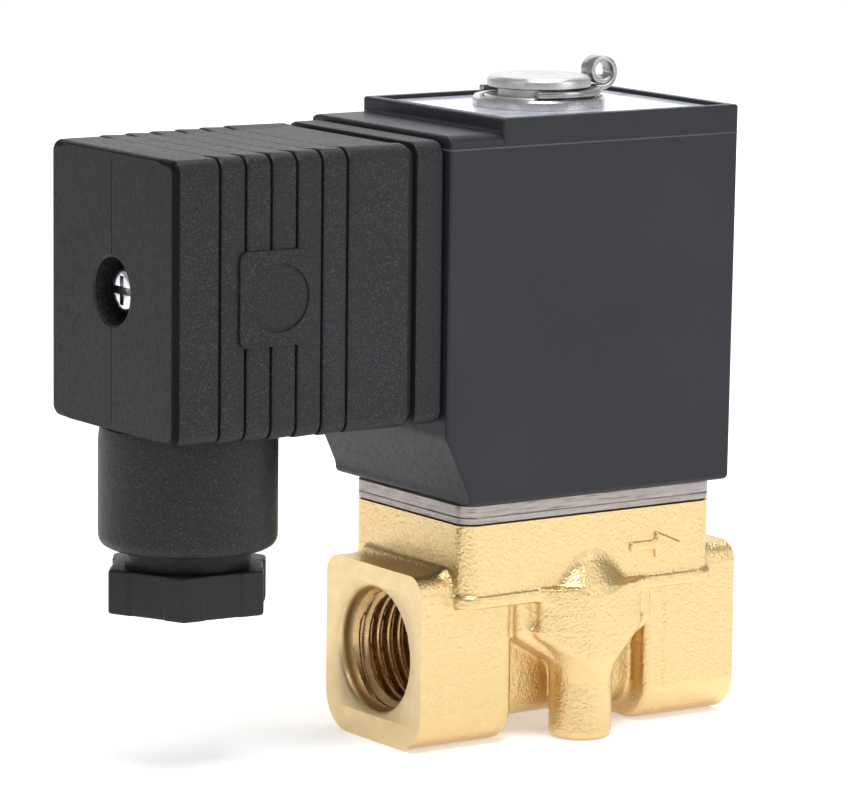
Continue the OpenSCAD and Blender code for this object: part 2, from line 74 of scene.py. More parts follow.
class Shader:
    """A Principled material whose colour, roughness and relief come from procedural nodes."""

    def __init__(self, name, **sockets):
        self.mat = bpy.data.materials.new(name)
        self.mat.use_nodes = True
        self.nodes = self.mat.node_tree.nodes
        self.links = self.mat.node_tree.links
        self.bsdf = self.nodes["Principled BSDF"]
        self.relief = None
        for key, value in sockets.items():
            self.bsdf.inputs[key.replace("_", " ")].default_value = value
        self.coords = self.nodes.new("ShaderNodeTexCoord").outputs["Object"]

    def stretched(self, scale, location=(0, 0, 0)):
        node = self.nodes.new("ShaderNodeMapping")
        node.inputs["Scale"].default_value = scale
        node.inputs["Location"].default_value = location
        self.links.new(self.coords, node.inputs["Vector"])
        return node.outputs["Vector"]

    def noise(self, per_mm, detail=3.0, rough=0.55, vector=None):
        """Noise with this many waves to the millimetre."""
        node = self.nodes.new("ShaderNodeTexNoise")
        node.inputs["Scale"].default_value = per_mm * 1000
        node.inputs["Detail"].default_value = detail
        node.inputs["Roughness"].default_value = rough
        self.links.new(vector or self.coords, node.inputs["Vector"])
        return node.outputs["Fac"]

    def wave(self, per_mm, kind, direction, distortion, vector=None):
        """Rings or bands, this many to the millimetre."""
        node = self.nodes.new("ShaderNodeTexWave")
        node.wave_type = kind
        if kind == "RINGS":
            node.rings_direction = direction
        else:
            node.bands_direction = direction
        node.inputs["Scale"].default_value = per_mm * 1000 * 2 * math.pi / WAVE_PHASE
        node.inputs["Distortion"].default_value = distortion
        node.inputs["Detail"].default_value = 2
        self.links.new(vector or self.coords, node.inputs["Vector"])
        return node.outputs["Fac"]

    def ramp(self, fac, *stops):
        node = self.nodes.new("ShaderNodeValToRGB")
        ramp = node.color_ramp
        while len(ramp.elements) < len(stops):
            ramp.elements.new(0.5)
        for element, (at, colour) in zip(ramp.elements, stops):
            element.position = at
            element.color = (*colour, 1)
        self.links.new(fac, node.inputs["Fac"])
        return node.outputs["Color"]

    def mixed(self, fac, a, b, mode="MIX"):
        """Two colours blended by a number or by another texture."""
        node = self.nodes.new("ShaderNodeMix")
        node.data_type = "RGBA"
        node.blend_type = mode
        if hasattr(fac, "node"):
            self.links.new(fac, node.inputs[0])
        else:
            node.inputs[0].default_value = fac
        self.links.new(a, node.inputs[6])
        self.links.new(b, node.inputs[7])
        return node.outputs[2]

    def spread(self, fac, low, high):
        """A texture's usual range stretched to low..high."""
        node = self.nodes.new("ShaderNodeMapRange")
        node.inputs["From Min"].default_value = 0.3
        node.inputs["From Max"].default_value = 0.7
        node.inputs["To Min"].default_value = low
        node.inputs["To Max"].default_value = high
        self.links.new(fac, node.inputs["Value"])
        return node.outputs["Result"]

    def colour(self, value):
        self.links.new(value, self.bsdf.inputs["Base Color"])

    def roughness(self, value):
        self.links.new(value, self.bsdf.inputs["Roughness"])

    def bump(self, height, depth_mm):
        """Relief of this depth, on top of any relief before it."""
        node = self.nodes.new("ShaderNodeBump")
        node.inputs["Distance"].default_value = depth_mm * MM
        node.inputs["Strength"].default_value = 1.0
        self.links.new(height, node.inputs["Height"])
        if self.relief is not None:
            self.links.new(self.relief, node.inputs["Normal"])
        self.relief = node.outputs["Normal"]
        self.links.new(self.relief, self.bsdf.inputs["Normal"])


def cast_brass():
    """Forged skin: four warm tones that drift into each other, and a coarse and a fine grain."""
    s = Shader("cast_brass", Metallic=1.0)
    broad, patch = s.noise(0.12, 2), s.noise(0.9, 4)
    s.colour(
        s.mixed(
            patch,
            s.ramp(broad, (0.35, (0.68, 0.49, 0.24)), (0.65, (0.75, 0.56, 0.29))),
            s.ramp(broad, (0.35, (0.82, 0.62, 0.33)), (0.65, (0.73, 0.54, 0.27))),
        )
    )
    s.roughness(s.spread(s.noise(2.2, 3), 0.29, 0.40))
    s.bump(s.noise(1.5, 1), 0.045)
    s.bump(s.noise(3.4, 2, 0.5), 0.085)
    return s.mat


def machined_brass():
    """Cut faces, with turning rings round the ports' axis."""
    s = Shader("machined_brass", Metallic=1.0)
    s.colour(
        s.ramp(
            s.noise(0.5, 3), (0.3, (0.75, 0.57, 0.31)), (0.7, (0.83, 0.65, 0.37))
        )
    )
    s.roughness(s.spread(s.noise(3.0, 3), 0.34, 0.46))
    turned = s.stretched((0, 1, 1), (0, 0, -PORT_Z * MM))
    s.bump(s.wave(4.0, "RINGS", "SPHERICAL", 0.8, turned), 0.004)
    s.bump(s.noise(7.0, 3), 0.008)
    return s.mat


def thread_painted_shade_brass():
    """Thread flanks, glossier than the cast skin and painted darker as painted shade deep in the bore,
    with faint marks across the port's axis.
    """
    s = Shader("thread_painted_shade_brass", Metallic=1.0)
    # Darker brown here is painted shade for the inside of the bore
    s.colour(
        s.ramp(s.noise(1.2, 3), (0.3, (0.56, 0.36, 0.17)), (0.7, (0.68, 0.47, 0.24)))
    )
    s.roughness(s.spread(s.noise(1.5, 2), 0.24, 0.34))
    s.bump(s.noise(0.8, 1, vector=s.stretched((1, 0.2, 0.2))), 0.002)
    return s.mat


def steel(name, dark, light, rough, grain=(1, 1, 1), relief=0.012, scale=2.0):
    """Steel whose grain is drawn out along the axes with small grain values."""
    s = Shader(name, Metallic=1.0)
    s.colour(s.ramp(s.noise(0.8, 4), (0.3, dark), (0.7, light)))
    along = s.stretched(grain)
    s.roughness(s.spread(s.noise(scale, 3, vector=along), rough * 0.8, rough * 1.25))
    s.bump(s.noise(scale * 1.7, 3, vector=along), relief)
    return s.mat


def turned_steel(name, colour, rough):
    """Bright steel with faint lathe rings round the valve axis."""
    s = Shader(name, Metallic=1.0)
    dark = tuple(c * 0.86 for c in colour)
    s.colour(s.ramp(s.noise(0.7, 3), (0.3, dark), (0.7, colour)))
    s.roughness(s.spread(s.noise(1.6, 3), rough * 0.8, rough * 1.3))
    flat = s.stretched((1, 1, 0))
    s.bump(s.wave(3.2, "RINGS", "SPHERICAL", 1.2, flat), 0.004)
    s.bump(s.noise(6.0, 3), 0.006)
    return s.mat


def sheared_steel():
    """Plate edge with the streaks of the shear, from dark and torn to bright."""
    s = Shader("sheared_steel", Metallic=1.0)
    streak = s.noise(1.4, 4, vector=s.stretched((0.25, 0.25, 3.0)))
    s.colour(
        s.ramp(
            streak,
            (0.28, (0.16, 0.14, 0.135)),
            (0.42, (0.33, 0.295, 0.28)),
            (0.75, (0.43, 0.385, 0.365)),
        )
    )
    s.roughness(s.spread(s.noise(2.5, 3), 0.34, 0.5))
    s.bump(streak, 0.03)
    s.bump(s.noise(5.0, 3), 0.015)
    return s.mat


def moulded(name, dark, light, rough, fine, depth, glint_fleck=0.0, sheen=0.28):
    """Moulded plastic with a grain and a slow colour drift. A fleck value above zero adds bright specks
    to the colour: painted glints for the sparkle of a glass filling.
    """
    s = Shader(name, Specular_IOR_Level=sheen)
    tone = s.ramp(s.noise(0.06, 3), (0.3, dark), (0.7, light))
    if glint_fleck:
        # Painted glints: bright specks added to the base colour
        painted_glints = s.ramp(
            s.noise(fine * 1.5, 2, 0.5),
            (0.56, (0, 0, 0)),
            (0.72, (glint_fleck, glint_fleck, glint_fleck * 1.1)),
        )
        tone = s.mixed(1.0, tone, painted_glints, "ADD")
    s.colour(tone)
    s.roughness(s.spread(s.noise(fine * 0.5, 3), rough - 0.06, rough + 0.08))
    s.bump(s.noise(fine, 2, 0.6), depth)
    return s.mat


def rubber():
    """Matt black rubber."""
    s = Shader("black_rubber", Specular_IOR_Level=0.35)
    s.colour(
        s.ramp(s.noise(0.5, 3), (0.3, (0.006, 0.006, 0.006)), (0.7, (0.014, 0.014, 0.014)))
    )
    s.roughness(s.spread(s.noise(2.0, 3), 0.55, 0.75))
    s.bump(s.noise(4.0, 3), 0.012)
    return s.mat


def label_film():
    """Silvery film with a pale blue printed field and a clear gloss coat."""
    s = Shader("label_film", Metallic=0.1, Coat_Weight=0.7, Coat_Roughness=0.08)
    field = s.noise(0.11, 2, vector=s.stretched((1.0, 1.6, 1.0)))
    s.colour(
        s.ramp(
            field,
            (0.40, (0.80, 0.81, 0.87)),
            (0.52, (0.60, 0.64, 0.82)),
            (0.62, (0.84, 0.85, 0.89)),
        )
    )
    s.roughness(s.spread(s.noise(0.6, 3), 0.22, 0.34))
    s.bump(s.noise(0.35, 2), 0.03)
    return s.mat


def clear_plastic():
    """Clear ring: mostly see-through, with faint flow marks."""
    s = Shader("clear_plastic", Alpha=0.1, Specular_IOR_Level=0.2)
    s.colour(
        s.ramp(s.noise(1.6, 1), (0.3, (0.008, 0.008, 0.009)), (0.7, (0.014, 0.014, 0.016)))
    )
    s.roughness(s.spread(s.noise(1.6, 1), 0.3, 0.4))
    s.bump(s.noise(2.0, 1), 0.002)
    return s.mat


def coloured(name, dark, light, rough, metallic=0.0, grain=(1, 1, 1)):
    """Plain material that drifts between two colours."""
    s = Shader(name, Metallic=metallic)
    along = s.stretched(grain)
    s.colour(s.ramp(s.noise(1.0, 3, vector=along), (0.3, dark), (0.7, light)))
    s.roughness(s.spread(s.noise(1.5, 3), rough * 0.85, rough * 1.15))
    s.bump(s.noise(3.0, 3, vector=along), 0.02)
    return s.mat


def winding():
    """Enamelled copper wire, wound in fine turns round the valve axis, with painted shade in the grooves
    between the turns.
    """
    s = Shader("copper_winding", Metallic=1.0)
    turns = s.wave(3.5, "BANDS", "Z", 0.4)
    # The dark part of each band is painted shade between the turns
    s.colour(s.ramp(turns, (0.2, (0.30, 0.10, 0.03)), (0.7, (0.78, 0.36, 0.14))))
    s.roughness(s.spread(s.noise(1.0, 2), 0.25, 0.4))
    s.bump(turns, 0.08)
    return s.mat


CAST_BRASS = cast_brass()
MACHINED_BRASS = machined_brass()
THREAD_BRASS_PAINTED_SHADE = thread_painted_shade_brass()
SHEARED_STEEL = sheared_steel()
BRIGHT_HEAD = turned_steel("bright_head", (0.70, 0.69, 0.69), 0.36)
STAINLESS = steel("stainless_tube", (0.58, 0.57, 0.56), (0.70, 0.69, 0.68), 0.26, (1, 1, 0.1))
WASHER_STEEL = steel(
    "washer_steel", (0.50, 0.49, 0.48), (0.60, 0.59, 0.58), 0.24, relief=0.003, scale=0.6
)
CLIP_STEEL = steel(
    "clip_steel", (0.36, 0.35, 0.35), (0.52, 0.51, 0.50), 0.24, (1, 1, 0.3), 0.006, 1.2
)
ZINC = steel("zinc_plate", (0.66, 0.68, 0.70), (0.82, 0.84, 0.86), 0.16, relief=0.006)
YOKE_STEEL = steel("yoke_steel", (0.40, 0.40, 0.41), (0.55, 0.55, 0.56), 0.36, (0.2, 0.2, 1))
COIL_PLASTIC = moulded(
    "coil_plastic", (0.014, 0.015, 0.020), (0.020, 0.021, 0.027), 0.42, 3.0, 0.02
)
FLASH_PLASTIC = moulded(
    "flash_plastic", (0.055, 0.057, 0.062), (0.09, 0.092, 0.10), 0.35, 3.0, 0.03
)
# Grained plastic whose bright specks are painted glints
GRAINED_PLASTIC = moulded(
    "grained_plastic", (0.007, 0.007, 0.009), (0.011, 0.011, 0.014), 0.46, 4.5, 0.06, 0.05
)
# Satin end face: less grain than the grained plastic, with a darker colour and less sheen as painted
# shade
SATIN_SHADED_PLASTIC = moulded(
    "satin_painted_shade_plastic", (0.005, 0.005, 0.006), (0.009, 0.009, 0.011), 0.46, 3.0, 0.02, 0.0, 0.22
)
# Near black with little sheen: a painted dark reflection on the end face's round edge and painted shade
# in the gasket joint
PAINTED_DARK_RIM_PLASTIC = moulded(
    "painted_dark_rim_plastic", (0.002, 0.002, 0.003), (0.004, 0.004, 0.005), 0.5, 3.0, 0.01, 0.0, 0.12
)
NUT_PLASTIC = moulded(
    "nut_plastic", (0.008, 0.008, 0.010), (0.013, 0.013, 0.016), 0.42, 2.5, 0.02
)
RUBBER = rubber()
LABEL_FILM = label_film()
CLEAR = clear_plastic()
CREAM_NYLON = coloured("cream_nylon", (0.62, 0.58, 0.46), (0.70, 0.66, 0.54), 0.5)
WHITE_NYLON = coloured("white_nylon", (0.62, 0.62, 0.58), (0.70, 0.70, 0.66), 0.45)
YELLOW_TAPE = coloured("yellow_tape", (0.80, 0.60, 0.10), (0.86, 0.68, 0.16), 0.3, 0, (1, 1, 0.2))
COPPER = coloured("copper", (0.72, 0.34, 0.20), (0.85, 0.45, 0.28), 0.25, 1.0)
TINNED = coloured("tinned_brass", (0.62, 0.60, 0.54), (0.74, 0.72, 0.66), 0.3, 1.0, (0.2, 1, 1))
WINDING = winding()


# ---------------------------------------------------------------- mesh helpers


def mesh_object(name, mesh, materials):
    """A new object in the scene that shows a mesh."""
    for m in materials:
        mesh.materials.append(m)
    obj = bpy.data.objects.new(name, mesh)
    bpy.context.scene.collection.objects.link(obj)
    return obj


def mesh_piece(name, verts, faces, materials):
    """A new mesh object from vertices in millimetres, welded and with every face turned outward."""
    mesh = bpy.data.meshes.new(name)
    mesh.from_pydata((np.asarray(verts, float) * MM).tolist(), [], faces)
    obj = mesh_object(name, mesh, materials)
    bm = bmesh.new()
    bm.from_mesh(obj.data)
    bmesh.ops.remove_doubles(bm, verts=bm.verts, dist=0.0005 * MM)
    bmesh.ops.recalc_face_normals(bm, faces=bm.faces)
    bm.to_mesh(obj.data)
    bm.free()
    return obj


def bake(obj):
    """Applies the object's modifiers to its mesh."""
    bpy.context.view_layer.update()
    shown = obj.evaluated_get(bpy.context.evaluated_depsgraph_get())
    mesh = bpy.data.meshes.new_from_object(shown)
    obj.modifiers.clear()
    old = obj.data
    obj.data = mesh
    bpy.data.meshes.remove(old)


def cut(obj, *cutters, operation="DIFFERENCE"):
    """Exact boolean of obj with each cutter, which is used up."""
    for c in cutters:
        m = obj.modifiers.new("cut", "BOOLEAN")
        m.operation, m.solver, m.object = operation, "EXACT", c
        bake(obj)
        bpy.data.objects.remove(c)


def soften(obj, width, segments=3, angle=35):
    """Rounds the edges sharper than angle."""
    m = obj.modifiers.new("soften", "BEVEL")
    m.width, m.segments = width * MM, segments
    m.limit_method, m.angle_limit = "ANGLE", math.radians(angle)
    m.use_clamp_overlap = True
    bake(obj)


def shade(obj, angle=38, weighted=True):
    """Smooth shading, split at sharp edges, with the large flat faces kept flat."""
    bm = bmesh.new()
    bm.from_mesh(obj.data)
    for f in bm.faces:
        f.smooth = True
    for e in bm.edges:
        e.smooth = len(e.link_faces) == 2 and e.calc_face_angle(0) < math.radians(angle)
    bm.to_mesh(obj.data)
    bm.free()
    if weighted:
        m = obj.modifiers.new("weighted", "WEIGHTED_NORMAL")
        m.keep_sharp, m.weight = True, 80


def place(obj, body, nodes=()):
    """Fixes a piece to its body and hides the CAD nodes that it replaces."""
    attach(obj, body)
    if nodes:
        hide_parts(*nodes)


def rounded_rect(hw, hh, r, corner, cx=0.0, cy=0.0):
    """Outline points of a rectangle with round corners, anticlockwise, from its half sizes."""
    pts = []
    for i, (sx, sy) in enumerate(((1, 1), (-1, 1), (-1, -1), (1, -1))):
        for j in range(corner + 1):
            a = math.pi / 2 * (i + j / corner)
            pts.append((cx + sx * (hw - r) + r * math.cos(a), cy + sy * (hh - r) + r * math.sin(a)))
    return np.array(pts)


def circle(r, n, cx=0.0, cy=0.0):
    a = np.arange(n) * 2 * math.pi / n
    return np.stack([cx + r * np.cos(a), cy + r * np.sin(a)], 1)


AXES = {"x": (1, 2, 0), "y": (2, 0, 1), "z": (0, 1, 2)}


def lift(outline, level, axis):
    """Places a flat outline at a level along an axis: (y, z) along x, (z, x) along y, (x, y) along z."""
    u, v, w = AXES[axis]
    pts = np.zeros((len(outline), 3))
    pts[:, u], pts[:, v], pts[:, w] = outline[:, 0], outline[:, 1], level
    return pts


def skin(rings, closed=False):
    """Faces between successive rings of points, with flat caps unless the last ring joins the first."""
    n = len(rings[0])
    verts = np.concatenate(rings)
    pairs = list(zip(range(len(rings) - 1), range(1, len(rings))))
    if closed:
        pairs.append((len(rings) - 1, 0))
    faces = [
        (a * n + j, a * n + (j + 1) % n, b * n + (j + 1) % n, b * n + j)
        for a, b in pairs
        for j in range(n)
    ]
    if not closed:
        faces.append(tuple(range(n)))
        faces.append(tuple(range((len(rings) - 1) * n, len(rings) * n)))
    return verts, faces


def loft(name, sections, materials, axis):
    """A closed solid through sections given as (level, outline)."""
    verts, faces = skin([lift(o, level, axis) for level, o in sections])
    return mesh_piece(name, verts, faces, materials)


def lathe(name, profile, materials, axis="z", centre=(0.0, 0.0), n=96, closed=False):
    """Turns a profile of (radius, level) points round an axis. A closed profile makes a ring."""
    rings = [lift(circle(max(r, 1e-4), n, *centre), level, axis) for r, level in profile]
    verts, faces = skin(rings, closed=closed)
    return mesh_piece(name, verts, faces, materials)


def slab(name, outline, lo, hi, axis, materials=()):
    """A flat outline extruded from lo to hi."""
    verts, faces = skin([lift(np.asarray(outline, float), t, axis) for t in (lo, hi)])
    return mesh_piece(name, verts, faces, materials)


def rod(r, lo, hi, axis, centre=(0.0, 0.0), n=64):
    """Cylinder for a boolean."""
    return lathe("cutter", [(r, lo), (r, hi)], [], axis, centre, n)


def box(lo, hi):
    """Block for a boolean, from two opposite corners."""
    (x0, y0, z0), (x1, y1, z1) = lo, hi
    return slab("cutter", [(x0, y0), (x1, y0), (x1, y1), (x0, y1)], z0, z1, "z")


# ---------------------------------------------------------------- forged brass body


def smin(a, b, k):
    """Union of two distances, blended over a width k."""
    h = np.clip(0.5 + 0.5 * (b - a) / k, 0, 1)
    return b + (a - b) * h - k * h * (1 - h)


def smax(a, b, k):
    """Intersection of two distances, blended over a width k."""
    return -smin(-a, -b, k)


def step(v, lo, hi):
    """Smooth ramp from 0 at lo to 1 at hi."""
    t = np.clip((v - lo) / (hi - lo), 0, 1)
    return t * t * (3 - 2 * t)


def rounded(u, v, hu, hv, r):
    """Signed distance to a rectangle with round corners."""
    qu, qv = np.abs(u) - hu + r, np.abs(v) - hv + r
    return (
        np.minimum(np.maximum(qu, qv), 0)
        + np.hypot(np.maximum(qu, 0), np.maximum(qv, 0))
        - r
    )


def forging(px, py, z):
    """Signed distance to the forged body, before its faces are machined.
    A cone or slope is a difference of heights, times the factor that makes it a distance."""
    x, y = np.abs(px), np.abs(py)
    # Port ends. The outlet one has a slightly sunken band next to the pocket
    side = 9.0 - np.where(px > 0, 0.16, 0.0) * (1 - step(x, 10.9, 11.5))
    port_half = 9.45
    corner = np.where(z > port_half, 2.2, 4.2)
    port = rounded(y, z - port_half, side, port_half, corner)
    port = smax(port, 8.7 - x, 0.9)
    # Block and the low flange round its foot
    block = smax(rounded(x, y, BLOCK_X, BLOCK_Y, 2.0), LIP_Z - z, 0.5)
    flange = rounded(x, y, BLOCK_X + 0.35, BLOCK_Y + 0.35, 2.3)
    flange = smax(flange, np.abs(z - (LIP_Z + FLANGE_Z) / 2) - (FLANGE_Z - LIP_Z) / 2, 0.25)
    head = smin(block, flange, 0.25)
    blend = 0.3 + 1.9 * step(x, 15.8, 17.0) * (1 - step(y, 7.5, 9.0))
    body = smin(port, head, blend)
    # Web between the ports
    web = smax(rounded(y, z - PORT_Z, 6.3, 8.0, 3.0), x - 9.5, 0.4)
    body = smin(body, web, 0.7)
    # Shelf that slopes down to the bosses
    shelf_x, shelf_foot_z = 8.8, 8.1
    slope = (SHELF_Z - z + (x - shelf_x) * 0.607) * 0.855
    shelf = smax(np.maximum(x - shelf_x, z - LIP_Z), slope, 0.5)
    shelf = smax(shelf, shelf_foot_z - z, 0.5)
    shelf = smax(shelf, y - 9.9, 0.7)
    body = smin(body, shelf, 0.45)
    # Slab over the stem, with a cone below it. Both end at one bulged face
    bulge = np.hypot(x, y + 1.0) - 13.7
    front = smax(x - 6.6, SHELF_Z - z, 1.4)
    front = np.maximum(front, 6.0 - y)
    out = np.hypot(x, y - BOSS_Y)
    cone = (out - BOSS_R - 0.94 * (z - shelf_foot_z)) * 0.73
    front = smin(front, np.maximum(cone, z - SHELF_Z - 0.6), 1.3)
    front = smax(smax(front, bulge, 0.5), z - FLANGE_Z, 0.25)
    stem = smax(np.maximum(out - BOSS_R, z - LIP_Z), -z, 0.9)
    boss = smin(front, stem, 1.5)
    body = smin(body, boss, 0.5)
    # Conical cap of the boss on the block's face
    cap = (np.hypot(x, y - 6.6) - 6.1 + 0.61 * (z - FLANGE_Z)) * 0.854
    cap = np.maximum(np.maximum(smax(cap, z - 20.3, 0.9), bulge), FLANGE_Z - 0.6 - z)
    body = np.minimum(body, smin(block, cap, 0.5))
    # Tapped mounting hole with its countersink
    hole = smax(out - 1.65, z - 7.0, 0.3)
    hole = np.minimum(hole, (out - 2.15 + z) * 0.707)
    return smax(body, -hole, 0.15)


def sampled(field, lo, hi, pitch):
    """Surface nets: one vertex for each grid cell that the surface crosses, joined in quads."""
    axes = [np.arange(a, b + pitch / 2, pitch) for a, b in zip(lo, hi)]
    f = field(*np.meshgrid(*axes, indexing="ij")).astype(np.float64)
    inside = f < 0
    nx, ny, nz = f.shape
    corners = [(i, j, k) for i in (0, 1) for j in (0, 1) for k in (0, 1)]

    def cell(a, c):
        return a[c[0] : nx - 1 + c[0], c[1] : ny - 1 + c[1], c[2] : nz - 1 + c[2]]

    count = sum(cell(inside, c).astype(np.int8) for c in corners)
    active = (count > 0) & (count < 8)
    where = np.argwhere(active)
    number = np.full(active.shape, -1)
    number[active] = np.arange(len(where))
    value = {c: cell(f, c)[active] for c in corners}
    total, hits = np.zeros((len(where), 3)), np.zeros(len(where))
    for a in corners:
        for axis in range(3):
            if a[axis]:
                continue
            b = tuple(1 if m == axis else a[m] for m in range(3))
            crossed = (value[a] < 0) != (value[b] < 0)
            t = value[a][crossed] / (value[a][crossed] - value[b][crossed])
            at = np.tile(np.array(a, float), (len(t), 1))
            at[:, axis] += t
            total[crossed] += at
            hits[crossed] += 1
    verts = np.array(lo) + (where + total / hits[:, None]) * pitch
    quads = []
    for axis in range(3):
        u, v = (axis + 1) % 3, (axis + 2) % 3
        first = np.take(inside, range(f.shape[axis] - 1), axis)
        second = np.take(inside, range(1, f.shape[axis]), axis)
        at = np.argwhere(first != second)
        for w in (u, v):
            at = at[(at[:, w] > 0) & (at[:, w] < f.shape[w] - 1)]
        shift_u, shift_v = np.eye(3, dtype=int)[u], np.eye(3, dtype=int)[v]
        ring = [at - shift_u - shift_v, at - shift_v, at, at - shift_u]
        quads.append(np.stack([number[tuple(r.T)] for r in ring], 1))
    return verts, np.concatenate(quads)


def settled(field, p, pitch, rounds=2):
    """Moves points onto the field's zero surface."""
    reach = 0.02
    for _ in range(rounds):
        d = field(*p.T)
        offsets = reach * np.eye(3)
        g = np.stack([(field(*(p + o).T) - field(*(p - o).T)) / (2 * reach) for o in offsets], 1)
        g /= np.maximum(np.linalg.norm(g, axis=1, keepdims=True), 0.3)
        p = p - g * np.clip(d, -pitch / 2, pitch / 2)[:, None]
    return p


def open_loop(bm, axis, level):
    """The vertices of the open boundary in a plane, in order."""

    def near(v):
        return abs(v.co[axis] - level) < 1e-4

    edges = [e for e in bm.edges if e.is_boundary and near(e.verts[0]) and near(e.verts[1])]
    links = {}
    for e in edges:
        for a, b in (e.verts, reversed(e.verts)):
            links.setdefault(a, []).append(b)
    start = edges[0].verts[0]
    loop, prev, here = [start], start, links[start][0]
    while here is not start:
        loop.append(here)
        nxt = [v for v in links[here] if v is not prev]
        prev, here = here, (nxt[0] if nxt else start)
    return loop


def fill(bm, outer, holes, material):
    """Flat faces between an outer loop of vertices and hole loops. A triangle made twice is left out."""
    loops = [outer, *holes]
    flat = [v for loop in loops for v in loop]
    for tri in tessellate_polygon([[v.co for v in loop] for loop in loops]):
        try:
            bm.faces.new([flat[i] for i in tri]).material_index = material
        except ValueError:
            pass


def add_rings(bm, rings, material):
    """Skins rings of points into bm, caps the last one and returns the first ring's vertices."""
    made = [[bm.verts.new(p) for p in r] for r in rings]
    n = len(made[0])
    for a, b in zip(made, made[1:]):
        for j in range(n):
            f = bm.faces.new((a[j], a[(j + 1) % n], b[(j + 1) % n], b[j]))
            f.material_index = material
    bm.faces.new(made[-1]).material_index = material
    return made[0]


def thread_radius(depth, turn):
    """Radius of a rounded internal pipe thread at a depth from the port face and an angle in turns."""
    tri = np.abs(2 * ((depth / PITCH + turn) % 1.0) - 1)
    groove = np.clip((tri - 0.14) / 0.72, 0, 1)
    r = THREAD_MINOR + (THREAD_MAJOR - THREAD_MINOR) * groove * groove * (3 - 2 * groove)
    lead = BORE_R - 0.95 * np.clip(depth - BORE_DEPTH, 0, 1.0)
    return np.maximum(r, lead)


def port_rings(side, drill):
    """Rings of the port's bore, from the rim chamfer to the drilling's end."""
    n = 96
    a = np.arange(n) * 2 * math.pi / n
    depths = [(0.0, BORE_R + 0.4), (0.4, BORE_R), (1.0, BORE_R), (BORE_DEPTH, BORE_R)]
    depths += [(t, None) for t in np.arange(2.0, 11.75, 0.11)]
    depths += [(12.0, 5.72), (12.05, 5.6), (13.1, drill + 0.9), (13.4, drill), (17.0, drill)]
    rings = []
    for t, r in depths:
        radius = np.full(n, r) if r else thread_radius(t, side * a / (2 * math.pi))
        x = np.full(n, side * (BODY_X - t))
        rings.append(np.stack([x, radius * np.cos(a), PORT_Z + radius * np.sin(a)], 1))
    return rings


def brass_body():
    """Forged body with machined ports and top."""
    skins = (CAST_BRASS, MACHINED_BRASS, THREAD_BRASS_PAINTED_SHADE)
    machined, threaded = 1, 2
    pitch = 0.24
    lo, hi = np.array((-21.2, -13.3, -0.6)), np.array((21.2, 13.3, 25.0))
    verts, quads = sampled(forging, lo, hi, pitch)
    verts = settled(forging, verts, pitch)
    bm = bmesh.new()
    vs = [bm.verts.new(p) for p in verts]
    for q in quads.tolist():
        bm.faces.new([vs[i] for i in q])
    for point, normal in (
        ((BODY_X, 0, 0), (1, 0, 0)),
        ((-BODY_X, 0, 0), (-1, 0, 0)),
        ((0, 0, BLOCK_Z), (0, 0, 1)),
    ):
        bmesh.ops.bisect_plane(
            bm,
            geom=[*bm.verts, *bm.edges, *bm.faces],
            plane_co=point,
            plane_no=normal,
            clear_outer=True,
            dist=1e-5,
        )
    # Machined port faces, the bores with their threads, and the inner drillings
    for side, drill in ((-1, 1.3), (1, 1.9)):
        outer = open_loop(bm, 0, side * BODY_X)
        rim = add_rings(bm, port_rings(side, drill), threaded)
        fill(bm, outer, [rim], machined)
    # Machined top with the valve chamber, its seat, and the plate's screw holes
    outer = open_loop(bm, 2, BLOCK_Z)
    chamber = [
        (8.5, BLOCK_Z), (8.5, 23.1), (7.9, 23.1), (7.9, 21.7), (5.6, 21.7), (5.6, 17.4),
        (3.0, 17.4), (2.0, 20.2), (1.25, 20.2), (1.25, 12.0),
    ]
    holes = [add_rings(bm, [lift(circle(r, 96), z, "z") for r, z in chamber], machined)]
    screw_hole = ((1.5, BLOCK_Z), (1.5, 17.9), (0.2, 17.4))
    for centre in SCREW_PLACES:
        rings = [lift(circle(r, 24, *centre), z, "z") for r, z in screw_hole]
        holes.append(add_rings(bm, rings, machined))
    fill(bm, outer, holes, machined)
    bmesh.ops.recalc_face_normals(bm, faces=bm.faces)
    # The counterbore in front of the thread is turned smooth, like the port face
    for f in bm.faces:
        if f.material_index == threaded and abs(f.calc_center_median().x) > BODY_X - BORE_DEPTH:
            f.material_index = machined
    bmesh.ops.scale(bm, vec=(MM, MM, MM), verts=bm.verts)
    mesh = bpy.data.meshes.new("forged_body")
    bm.to_mesh(mesh)
    bm.free()
    obj = mesh_object("forged_body", mesh, skins)
    shade(obj, 50, weighted=False)
    place(obj, "valve_body", ["brass_body"])


def flow_arrow():
    """Raised arrow that shows the direction of flow, with cast, softened edges."""
    tail_x, neck_x, tip_x, mid_z, shaft, head = 5.0, 8.3, 11.8, 20.1, 0.5, 1.5
    half = [(tail_x, -shaft), (neck_x, -shaft), (neck_x, -head)]
    points = half + [(tip_x, 0.0)] + [(x, -z) for x, z in reversed(half)]
    outline = [(mid_z + z, x) for x, z in points]
    obj = slab("flow_arrow", outline, -BLOCK_Y - 0.36, -BLOCK_Y + 0.4, "y", [CAST_BRASS])
    soften(obj, 0.3, 3)
    shade(obj)
    place(obj, "valve_body")


# ---------------------------------------------------------------- plate and armature


def plate():
    """Steel plate with a sheared edge: two polished bands and a torn groove between them."""
    levels = [
        (24.28, 0.28), (24.42, 0.05), (25.0, 0.0), (25.12, 0.07), (25.26, 0.0), (26.3, 0.0),
        (26.5, 0.18),
    ]
    sections = [(z, rounded_rect(BLOCK_X - d, BLOCK_Y - d, 2.0 - d, 8)) for z, d in levels]
    obj = loft("steel_plate", sections, [SHEARED_STEEL], "z")
    cut(obj, rod(5.9, 20, 30, "z"))
    countersunk = [(1.55, 20), (1.55, 24.8), (3.25, 26.5), (3.25, 27)]
    for centre in SCREW_PLACES:
        cut(obj, lathe("cutter", countersunk, [], "z", centre, 32))
    shade(obj, 30)
    place(obj, "valve_body", ["flange_plate"])


